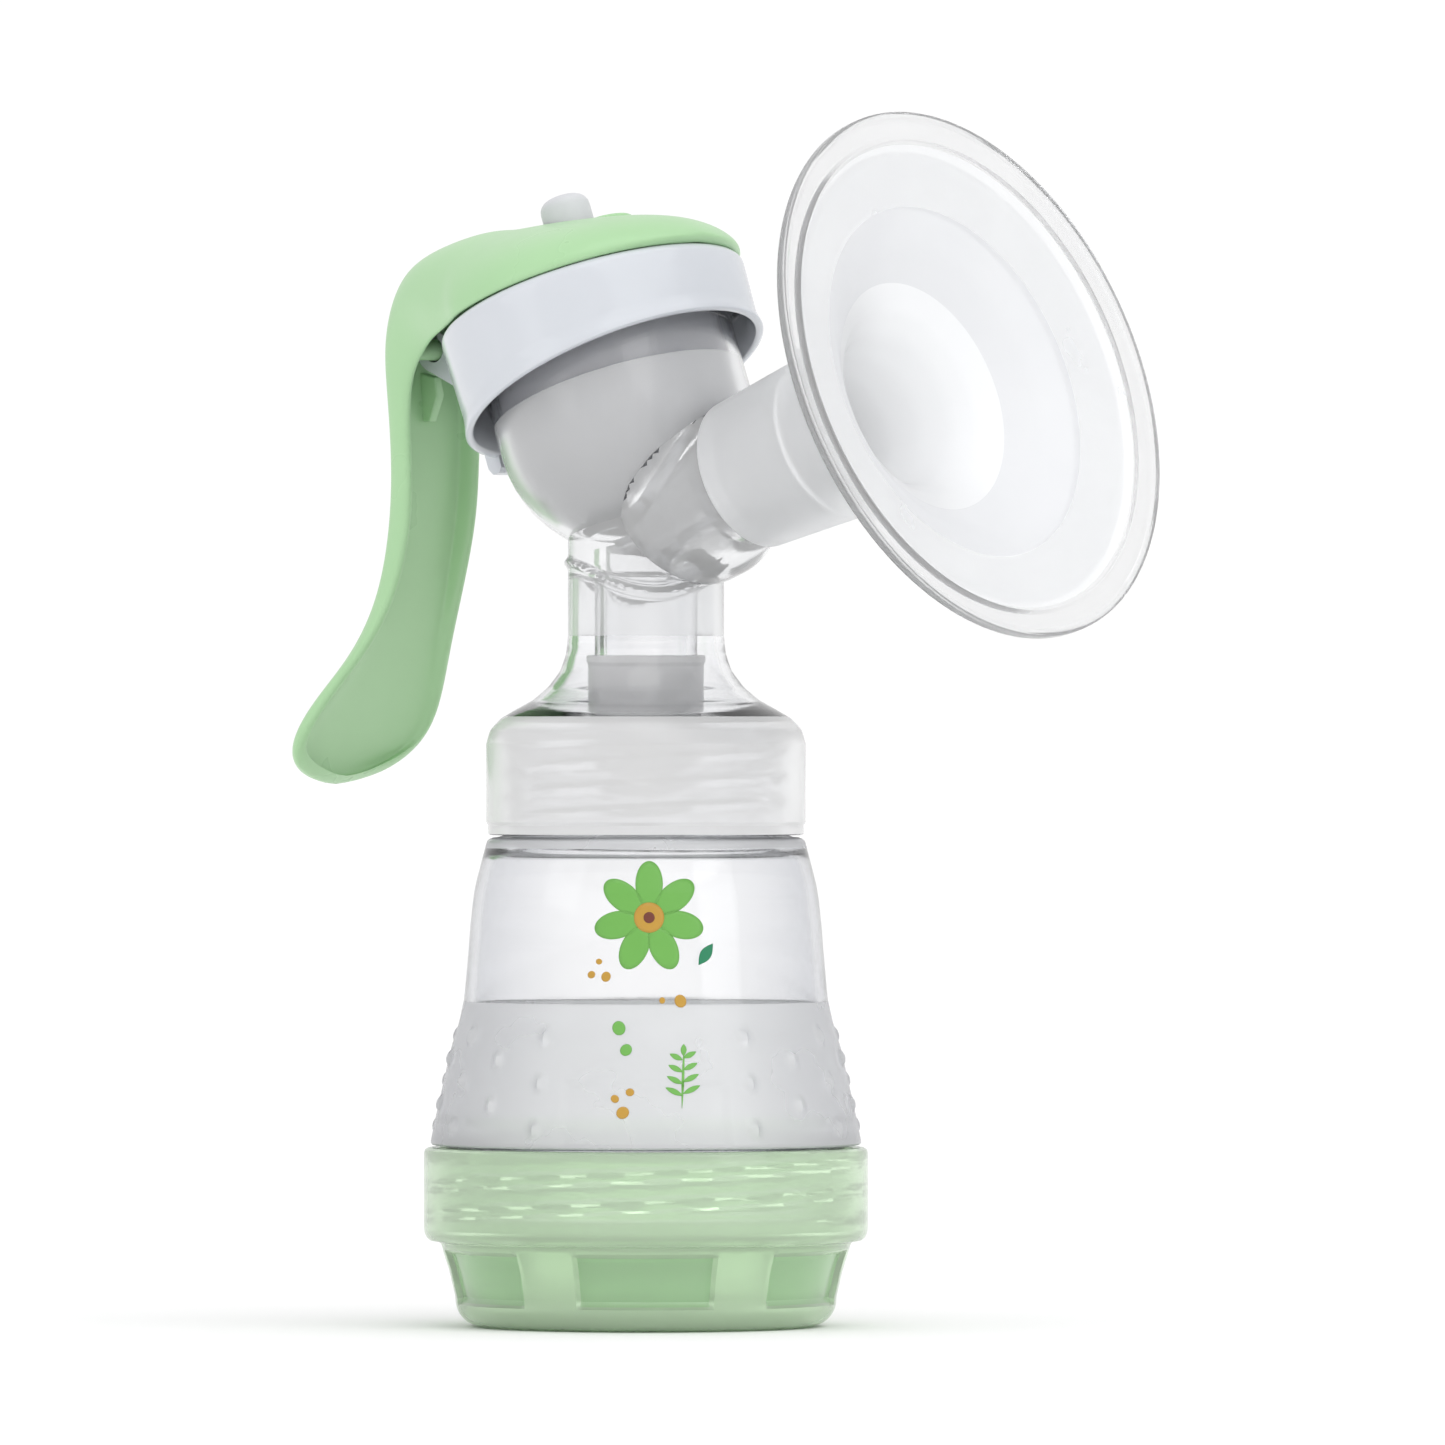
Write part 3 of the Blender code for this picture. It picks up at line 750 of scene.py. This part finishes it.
def body_finish(face):
    """The finish of a face of the pump body: the skirt's outside is hazy, the outside of the bowl,
    of the branch and of the upper neck is veiled, and the rest is clear."""
    at, out = face.center / MM, face.normal
    r = math.hypot(at.x, at.y)
    radial = (out.x * at.x + out.y * at.y) / r
    if at.z < 94.0 and r > 21.5 and radial + 0.5 * out.z > 0.4:
        return HAZY_FINISH
    if 106.0 < at.z < 128.0 and UPPER_NECK - 0.2 < r < UPPER_NECK + 1.0 and radial > 0.5:
        return VEILED_FINISH
    to_chamber = CHAMBER_PLACE.inverted()
    spoke = to_chamber @ face.center - Vector((0, 0, BOWL_CENTRE))
    outward = (to_chamber.to_3x3() @ out).normalized().dot(spoke.normalized())
    if abs(spoke.length - BOWL_RADIUS) < 0.25 and outward > 0.5:
        return VEILED_FINISH
    to_funnel = FUNNEL_PLACE.inverted()
    branch = to_funnel @ face.center
    spread = math.hypot(branch.x, branch.y)
    outward = (to_funnel.to_3x3() @ out).normalized().dot(branch / spread)
    past_bowl = spoke.length > BOWL_RADIUS + 0.2 and 0 < branch.z < BRANCH_LENGTH + 0.4
    if past_bowl and 8.6 < spread < 14.5 and outward > -0.3:
        return VEILED_FINISH
    return CLEAR_FINISH


def make_pump_body():
    """The clear body: skirt, shoulder and neck in one turned ring, joined to bowl and branch."""
    ring = [(UPPER_NECK, 127.0, 0), (UPPER_NECK, 119.4, 0)]
    ring += [(UPPER_NECK, 119.0 - 0.4 * k, 0) for k in range(31)]
    ring += [(UPPER_NECK, 106.0, 0), (12.3, 103.2, 4), (13.2, 100.6, 4), (15.0, 98.2, 4)]
    ring += [(17.3, 96.2, 5), (20.0, 94.7, 6), (22.4, 93.3, 4), (24.0, 91.5, 2)]
    ring += [(NECK_RADIUS, 89.4, 2), (NECK_RADIUS, 77.4, 0.3)]
    ring += [(24.3, 76.9, 0.3), (24.3, 75.4, 0.3), (22.7, 75.4, 0.3)]
    ring += [(22.7, 91.2, 0.8), (21.6, 92.2, 0.8), (19.0, 93.4, 4), (16.4, 94.7, 4), (13.7, 97.0, 4)]
    ring += [(11.5, 100.5, 5), (10.6, 104.6, 4), (10.5, 115.2, 0.6), (8.4, 115.9, 0.6)]
    ring += [(7.9, 115.4, 0.3), (7.9, 94.0, 0.4), (6.4, 94.0, 0.3), (6.2, 127.0, 0)]
    bm = turned(rounded(ring), FINE)
    rib_height, rib_middle, rib_wave = 0.7, 115.0, 2.4
    for vert in bm.verts:
        azimuth, r, z = around(vert)
        if abs(r - UPPER_NECK) < 0.1 and 106.5 < z < 119.2:
            crest = rib_middle - rib_wave * math.cos(2 * (math.radians(azimuth) + 0.7))
            push_out(vert, rib_height * ridge(z - crest, 0.9, 1.4))
    body = solid("pump_body_shell", bm)

    ball = arc((0.0, BOWL_CENTRE), BOWL_RADIUS, 0, -90, 24)
    rim = rounded([(0.0, BOWL_RIM, 0), (22.2, BOWL_RIM, 0.4), (22.2, 28.4, 0.4), (20.3, 27.6, 0.8),
                   (BOWL_RADIUS, 26.4, 0.6), (BOWL_RADIUS, 20.0, 0)], closed=False)
    bowl = solid("bowl", turned(rim + ball, FINE, closed=False), CHAMBER_PLACE)
    inner = BOWL_RADIUS - WALL
    well = [(0.0, BOWL_RIM + 2), (inner, BOWL_RIM + 2)] + arc((0.0, BOWL_CENTRE), inner, 0, -90, 24)
    hollow = solid("hollow", turned(well, FINE, closed=False), CHAMBER_PLACE)
    flare = rounded([(0.0, BRANCH_LENGTH, 0), (9.2, BRANCH_LENGTH, 0.5), (10.0, 34.5, 1),
                     (10.0, 25.0, 8), (11.0, 18.5, 8), (13.4, 12.5, 6), (13.6, 7.5, 5),
                     (11.0, 1.5, 5), (0.0, 0.0, 0)], closed=False)
    port = solid("port", turned(flare, 96, closed=False), FUNNEL_PLACE)
    passage = solid("passage", rod(8.2, -2.0, 40.0, 96), FUNNEL_PLACE)
    keep = solid("bowl_keep", turned(rim + ball, FINE, closed=False), CHAMBER_PLACE)
    carve(passage, ("DIFFERENCE", keep))
    air_way = solid("air_way", rod(1.2, -8.0, 0.0, 32), CHAMBER_PLACE)
    carve(
        body, ("UNION", bowl), ("UNION", port), ("DIFFERENCE", passage), ("DIFFERENCE", hollow),
        ("DIFFERENCE", air_way),
    )
    for face in body.data.polygons:
        face.material_index = body_finish(face)
    return finished(
        body, "pump", "pump_body", "clear_plastic", neck_clear, hazy, veiled, sharp=32
    )


def make_milk_valve():
    """The duckbill: a collar that hugs the spout, narrowing to a flat slit."""
    corners = [(9.15, 102.8, 0.3), (9.15, 101.6, 0.4), (8.9, 101.0, 0.5), (8.9, 93.0, 2)]
    corners += [(6.6, 88.2, 2), (2.4, 83.2, 0.3), (1.4, 83.2, 0.3), (5.6, 88.6, 2)]
    corners += [(8.2, 93.6, 2), (8.2, 102.8, 0.3)]
    bm = turned(rounded(corners), 96)
    for vert in bm.verts:
        squeeze = ease((92.0 - vert.co.z) / 8.0)
        vert.co.y *= 1 - 0.62 * squeeze
        vert.co.x *= 1 + 0.9 * squeeze
    piece = solid("milk_valve_duckbill", bm)
    return finished(piece, "duckbill", "milk_valve", "clear_silicone", valve_white)


def make_membrane():
    """The membrane cup inside the bowl, in its resting shape; the real one rolls up as the stem lifts.
    """
    outer = BOWL_RADIUS - WALL - 0.4
    inner = outer - 1.1
    low = BOWL_RIM + 0.3
    outline = rounded([(inner, low + 1.2, 0), (21.6, low + 1.2, 0.4), (21.6, low, 0.4),
                       (outer, low, 0.8), (outer, BOWL_CENTRE, 0)], closed=False)
    outline += arc((0.0, BOWL_CENTRE), outer, 0, -78, 30)[1:]
    outline += [(3.4, BOWL_CENTRE - outer), (3.4, BOWL_CENTRE - inner + 0.4)]
    outline += arc((0.0, BOWL_CENTRE), inner, -76, 0, 30)
    outline += [(inner, 18.0), (inner, 21.0), (inner, 24.0), (inner, 27.0)]
    piece = solid("membrane_cup", turned(outline, 120), CHAMBER_PLACE)
    finished(piece, None, "membrane", "grey_silicone", grey)
    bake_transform(piece)
    return piece


def make_stem():
    """The stem and its knob, which stands out of the cap."""
    top = 52.8
    corners = [(0.0, top, 0), (KNOB_RADIUS, top, 1.9), (KNOB_RADIUS, KNOB_SEAT + 0.4, 0.3)]
    corners += [(2.4, KNOB_SEAT + 0.4, 0.2), (2.4, 41.6, 0.4), (2.6, 40.9, 0.4), (2.6, 3.2, 0.4)]
    corners += [(3.1, 2.2, 0.4), (3.1, -2.3, 0.5), (0.0, -2.3, 0)]
    piece = solid("stem_knob", turned(rounded(corners, closed=False), 64, closed=False), CHAMBER_PLACE)
    return finished(piece, "stem", "membrane_stem", "grey_silicone", pale_grey)


# ---------------------------------------------------------------- lid and handle


def chamber_xz(point):
    """A place in the XZ plane as (across, along) of the tilted chamber axis."""
    t = math.radians(CHAMBER_TILT)
    dx, dz = point[0] - JUNCTION.x, point[2] - JUNCTION.z
    return (dx * math.cos(t) + dz * math.sin(t), -dx * math.sin(t) + dz * math.cos(t))


def world_xz(across, along):
    """The world X and Z of a place given along the tilted chamber axis."""
    t = math.radians(CHAMBER_TILT)
    return (
        JUNCTION.x + across * math.cos(t) - along * math.sin(t),
        JUNCTION.z + across * math.sin(t) + along * math.cos(t),
    )


def make_lid():
    """The white lid: its skirt is cut slantwise, with a rolled rim, and a hook stands at the back."""
    floor = 15.0
    outline = rounded([
        (3.1, 39.0, 0.3), (5.4, 39.0, 0.5), (6.0, 38.5, 0.5), (6.4, 36.9, 0.6),
        (LID_RADIUS, LID_TOP, 1.4), (LID_RADIUS - 0.3, floor, 0.7), (LID_RADIUS - WALL, floor, 0.7),
        (LID_RADIUS - WALL, 34.4, 0.5), (21.6, 34.4, 0), (21.4, 31.8, 0.3), (19.6, 31.8, 0.3),
        (19.4, 34.4, 0.4), (3.1, 34.4, 0.3),
    ])
    bm = turned(outline, FINE)
    tall = [edge for edge in bm.edges if abs(edge.verts[0].co.z - edge.verts[1].co.z) > 6]
    bmesh.ops.subdivide_edges(bm, edges=tall, cuts=9, use_grid_fill=True)
    for vert in bm.verts:
        r = math.hypot(vert.co.x, vert.co.y)
        if r > 22.3 and vert.co.z < 33.5:
            rim = LID_RIM + LID_RIM_SLOPE * vert.co.x
            share = (33.5 - vert.co.z) / (33.5 - floor)
            vert.co.z = 33.5 - (33.5 - rim) * share
            push_out(vert, 0.55 * ease((share - 0.75) / 0.25))
    lid = solid("lid_cover", bm, CHAMBER_PLACE)

    centre = chamber_xz(PIVOT)
    gap = 1.4
    seat = math.degrees(math.asin(gap / 1.9))
    hook = [(-23.2, 17.2), (-24.0, 16.6), (-25.2, 16.7), (-25.8, 17.8), (-25.9, 30.5)]
    hook += arc(centre, 3.4, 225, 90 + math.degrees(math.asin(gap / 3.4)), 14)
    hook += arc(centre, 1.9, 90 + seat, 450 - seat, 24)
    hook += arc(centre, 3.4, 90 - math.degrees(math.asin(gap / 3.4)), 62, 3)
    hook += [(-24.6, 36.6), (-23.4, 35.4), (-23.0, 30.0), (-23.0, 22.0)]
    arm = solid("hook_arm", prism(hook, 3.6, bevel=0.35), CHAMBER_PLACE)
    carve(lid, ("UNION", arm))
    return finished(lid, "lid", "lid", "white_plastic", white, sharp=34)


def handle_sections():
    """Arched sections from the front of the cap, over the lid and down the lever.

    Each is (crown, edge, half width, squareness): the section is a superellipse arch.
    """
    sections = []
    for angle, height in [(15, 39.2), (30, 41.6), (48, 44.0), (68, 46.5), (90, 49.2), (112, 51.4)]:
        a = math.radians(angle)
        across = CAP_RADIUS * math.cos(a)
        sections.append(
            (world_xz(across * 0.97, height), world_xz(across, CAP_RIM), CAP_RADIUS * math.sin(a), 1.9)
        )
    sections += [
        ((-27.8, 169.6), (-22.6, 154.3), 20.6, 2.1),
        ((-35.8, 167.6), (-28.6, 152.4), 17.0, 2.5),
        ((-42.4, 164.7), (-32.8, 151.4), 13.8, 3.0),
        ((-46.2, 158.8), (-36.4, 149.6), 11.4, 3.6),
        ((-47.6, 151.6), (-39.4, 146.8), 10.2, 4.2),
        ((-46.8, 143.4), (-41.0, 142.0), 9.4, 4.5),
        ((-46.1, 134.0), (-41.0, 134.0), 9.0, 4.5),
        ((-46.7, 123.8), (-41.0, 124.6), 8.6, 4.5),
        ((-49.2, 111.8), (-43.8, 113.8), 8.5, 4.2),
        ((-53.9, 102.2), (-48.2, 105.2), 10.4, 3.6),
        ((-59.2, 95.0), (-53.2, 98.2), 14.0, 3.0),
        ((-63.2, 89.4), (-57.0, 91.8), 15.8, 2.6),
        ((-65.0, 84.8), (-60.2, 86.4), 13.6, 2.2),
    ]
    return sections


def handle_skin(columns=8):
    """The handle's outer skin as a coarse sheet of bridged arches, closed to a point at both ends."""
    bm = bmesh.new()
    arches = []
    for crown, edge, half, squareness in handle_sections():
        arch = []
        for j in range(columns + 1):
            a = math.pi * j / columns
            side = math.copysign(abs(math.cos(a)) ** (2 / squareness), math.cos(a))
            drop = 1 - math.sin(a) ** (2 / squareness)
            x = crown[0] + (edge[0] - crown[0]) * drop
            z = crown[1] + (edge[1] - crown[1]) * drop
            arch.append(bm.verts.new((x, half * side, z)))
        arches.append(arch)
    strips = [[bm.edges.new(pair) for pair in zip(arch, arch[1:])] for arch in arches]
    for first, second in zip(strips, strips[1:]):
        bmesh.ops.bridge_loops(bm, edges=first + second)
    nose = world_xz(CAP_RADIUS, CAP_RIM + 0.4)
    toe = (-64.0, 82.0)
    for arch, point in ((arches[0], nose), (arches[-1], toe)):
        tip = bm.verts.new((point[0], 0.0, point[1]))
        for pair in zip(arch, arch[1:]):
            bm.faces.new((tip, *pair))
    bmesh.ops.recalc_face_normals(bm, faces=bm.faces)
    cap = [face for face in bm.faces if face.calc_center_median().z > 150]
    if sum(face.normal.z * face.calc_area() for face in cap) < 0:
        bmesh.ops.reverse_faces(bm, faces=bm.faces)
    return bm


def slot_outline(half_width):
    """A long hole about the stem, open towards the funnel side."""
    return arc((0.0, 0.0), half_width, 270, 90, 20) + arc((SLOT_TRAVEL, 0.0), half_width, 90, -90, 20)


def slot_block(name, half_width, low, high, bevel=0.0):
    """A block of long-hole outline between two heights up the chamber axis."""
    bm = prism(slot_outline(half_width), (high - low) / 2, bevel)
    bmesh.ops.rotate(bm, verts=bm.verts, matrix=Matrix.Rotation(math.pi / 2, 3, "X"))
    bmesh.ops.translate(bm, verts=bm.verts, vec=(0, 0, (low + high) / 2))
    return solid(name, bm, CHAMBER_PLACE)


def make_handle():
    """The squeeze handle: a domed cap and a channel-shaped lever that ends in a spoon."""
    handle = solid("squeeze_handle", handle_skin())
    shell = handle.modifiers.new("wall", "SOLIDIFY")
    shell.thickness = 1.8 * MM
    shell.offset = -1.0
    shell.use_even_offset = True
    smooth = handle.modifiers.new("smooth", "SUBSURF")
    smooth.levels = 3
    smooth.render_levels = 3
    settle(handle)
    pivot_place = Matrix.Translation(PIVOT * MM) @ UPRIGHT
    bar = solid("crossbar", rod(1.6, -9.4, 9.4, 48, "Y"), pivot_place)
    web = [(-5.6, -3.2), (-2.2, -4.2), (-1.6, -7.0), (-3.2, -11.0), (-5.4, -11.0)]
    rib = solid("lever_rib", prism(web, 0.9, bevel=0.3), pivot_place)
    carve(
        handle,
        ("UNION", bar),
        ("UNION", rib),
        ("UNION", slot_block("stem_pad", 5.4, KNOB_SEAT - 3.2, KNOB_SEAT, 0.4)),
        ("DIFFERENCE", slot_block("stem_pocket", 4.6, KNOB_SEAT, KNOB_SEAT + 9)),
        ("DIFFERENCE", slot_block("stem_slot", 2.9, KNOB_SEAT - 9, KNOB_SEAT + 4)),
    )
    return finished(handle, "handle", "handle", "green_plastic", satin_green, sharp=40)


# ---------------------------------------------------------------- funnel


def make_funnel():
    """The breast funnel: a beaded rim, a glassy band, a milky flange and cone, and the sleeve."""
    def back(radius, depth, fillet=0.0):
        return (radius, FUNNEL_REACH - depth, fillet)

    outline = rounded([
        back(41.2, 0.0, 0.4), back(FUNNEL_RADIUS, 0.0, 0.6), back(FUNNEL_RADIUS, 1.5, 0.6),
        back(41.2, 1.9, 0.4), back(38.4, 2.2, 1.5), back(36.6, 3.0, 2), back(34.2, 3.9, 6),
        back(28.4, 5.6, 8), back(23.0, 9.3, 12), back(19.0, 12.6, 12), back(16.2, 15.8, 8),
        back(14.4, 19.6, 8), back(13.4, 25.0, 8), back(12.9, 31.5, 8), back(11.8, 46.9, 0.4),
        back(10.3, 46.9, 0.4), back(10.3, 30.8, 0.3), back(8.3, 30.8, 0.3), back(8.8, 25.6, 8),
        back(10.2, 20.4, 9), back(12.4, 16.0, 8), back(14.8, 13.2, 6), back(18.2, 10.6, 0.7),
        back(22.8, 7.0, 16), back(28.0, 3.9, 0.7), back(35.6, 2.0, 8), back(37.2, 1.2, 0.3),
        back(37.7, 0.5, 0.25), back(40.7, 0.45, 0.3),
    ], turn_step=12)
    bm = turned(outline, 192)
    for face in bm.faces:
        at = face.calc_center_median()
        r = math.hypot(at.x, at.y)
        front = at.z > FUNNEL_REACH - 11.0 and face.normal.z > 0
        if r > 36.9:
            face.material_index = 1
        elif r > 28.1:
            face.material_index = 2
        elif front and r > 18.2:
            face.material_index = 3
    piece = solid("funnel_cup", bm, FUNNEL_PLACE)
    return finished(piece, "pump", "funnel", "clear_silicone", milky, glassy, flange, cone)


# ---------------------------------------------------------------- studio


def make_studio():
    """A pale floor, an even white room, a broad ceiling light, two softboxes and a long lens."""
    bm = bmesh.new()
    bmesh.ops.create_grid(bm, x_segments=2, y_segments=2, size=30.0)
    floor = solid("floor", bm, Matrix.Translation((0, 0, -0.0002)))
    paper = moulded("paper_pale_matt", ("#FBFBFB", "#F8F8F8"), (0.85, 0.95), 2.0, 0.01, patch=90.0)
    floor.data.materials.append(paper)

    world = bpy.data.worlds.new("white_room")
    scene.world = world
    world.use_nodes = True
    tree = world.node_tree
    rays = add(tree, "ShaderNodeLightPath").outputs
    seen = add(
        tree,
        "ShaderNodeMath",
        {0: rays["Is Camera Ray"], 1: rays["Is Transmission Ray"]},
        operation="MAXIMUM",
    )
    white_wall = add(
        tree, "ShaderNodeMapRange", {"Value": seen.outputs["Value"], "To Min": 0.87, "To Max": 1.02}
    )
    tree.links.new(white_wall.outputs["Result"], tree.nodes["Background"].inputs["Strength"])
    tree.nodes["Background"].inputs["Color"].default_value = linear("#FFFFFF")

    view_azimuth = 40.0
    middle = Vector((0.0, 0.0, 0.1))
    ceiling = bpy.data.lights.new("ceiling_light", "SUN")
    ceiling.energy = 0.95
    ceiling.angle = math.radians(70)
    overhead = bpy.data.objects.new("ceiling_light", ceiling)
    overhead.rotation_euler = (math.radians(32), 0, math.radians(view_azimuth + 35))
    scene.collection.objects.link(overhead)
    for name, azimuth, height, distance, size, watts in (
        ("softbox_left", view_azimuth - 60, 0.35, 0.9, 0.45, 0.35),
        ("softbox_right", view_azimuth + 50, 0.25, 0.9, 0.45, 0.7),
    ):
        lamp = bpy.data.lights.new(name, "AREA")
        lamp.size = size
        lamp.energy = watts
        box = bpy.data.objects.new(name, lamp)
        a = math.radians(azimuth)
        box.location = middle + Vector((math.sin(a) * distance, -math.cos(a) * distance, height))
        box.rotation_euler = (middle - box.location).to_track_quat("-Z", "Y").to_euler()
        scene.collection.objects.link(box)

    a = math.radians(view_azimuth)
    back = Vector((math.sin(a), -math.cos(a), 0.0))
    right = Vector((math.cos(a), math.sin(a), 0.0))
    reach = 2.5
    width = 0.2223  # what the frame spans at the pump
    lens = bpy.data.cameras.new("long_lens")
    lens.sensor_width = 36.0
    lens.lens = lens.sensor_width * reach / width
    camera = bpy.data.objects.new("camera", lens)
    camera.location = right * 11.77 * MM + Vector((0, 0, 92.69 * MM)) + back * reach
    camera.rotation_euler = (math.radians(90), 0, a)
    scene.collection.objects.link(camera)
    scene.camera = camera
    scene.view_settings.view_transform = "Standard"


# ---------------------------------------------------------------- assembly

# The second argument of each clear plastic is the grey painted at its edges, a painted reflection.
clear = clear_polypropylene("bottle", "#D3D5DA", 34.0)
neck_clear = clear_polypropylene("body", "#F2F3F5", 8.0)
frosted = frosted_polypropylene()
green = green_polypropylene()
window_green = green_window()
hazy = hazy_polypropylene()
veiled = veiled_polypropylene()
satin_green = green_handle()
white = white_lid()
milky = milky_silicone()
valve_white = valve_silicone()
glassy = glassy_silicone()
flange = flange_silicone()
cone = cone_silicone()
grey = grey_silicone()
pale_grey = knob_silicone()

make_studio()
make_base()
make_vent_valve()
make_bottle()
make_print()
make_pump_body()
make_milk_valve()
make_membrane()
make_stem()
make_lid()
make_handle()
make_funnel()
